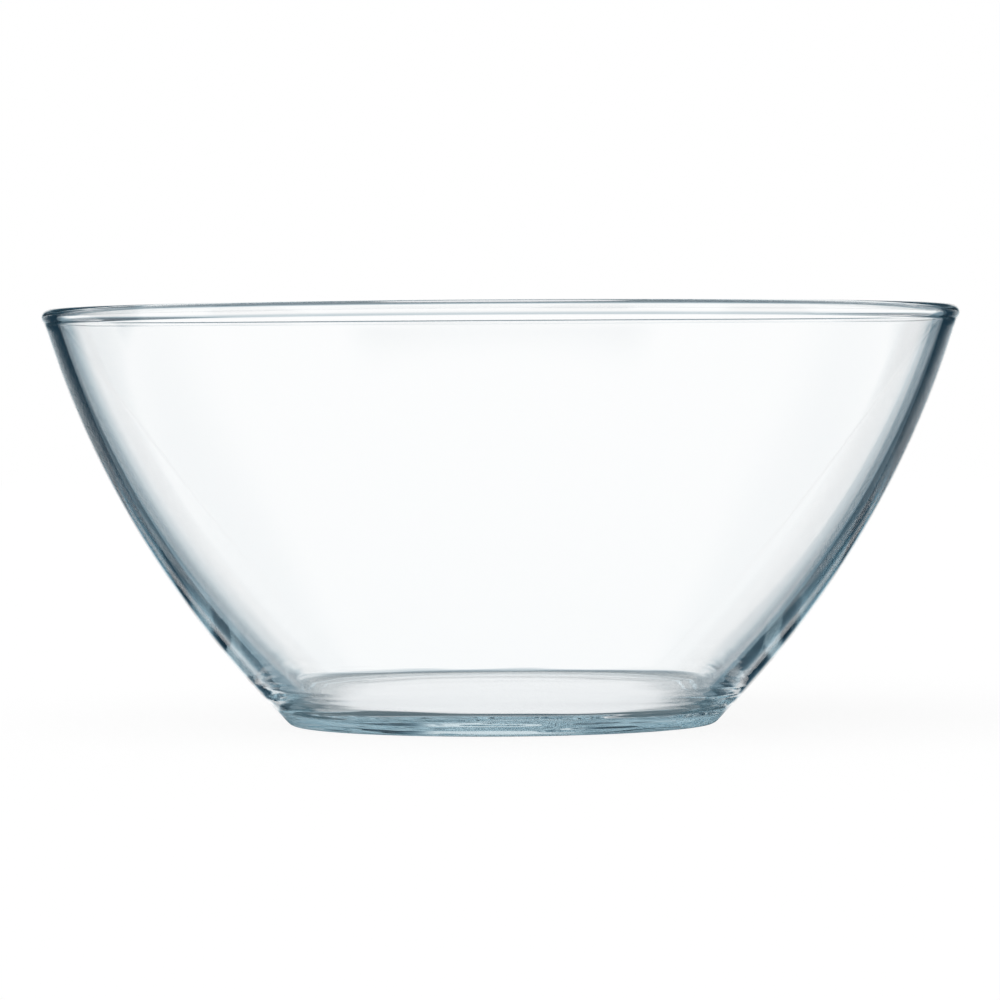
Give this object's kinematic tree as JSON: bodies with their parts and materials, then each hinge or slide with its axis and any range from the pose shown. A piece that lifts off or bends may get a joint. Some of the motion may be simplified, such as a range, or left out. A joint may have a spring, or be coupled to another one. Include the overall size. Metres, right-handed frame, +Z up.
{
  "type": "salad bowl",
  "caption": "Round salad bowl of clear pressed glass with flared curved walls, a rounded beaded rim and a thick floor on a shallow standing ring.",
  "frame": {"origin": "centre of the standing ring, on the surface that the bowl stands on", "axes": "+Z up along the bowl's axis of revolution; X and Y are any two directions across the rim"},
  "size_m": [0.24, 0.24, 0.109],
  "materials": {
    "clear_glass": "clear, smooth and fire-polished, with a faint blue-green tint that shows in the thick edges"
  },
  "bodies": {
    "root": {"bowl": "clear_glass"}
  },
  "joints": []
}
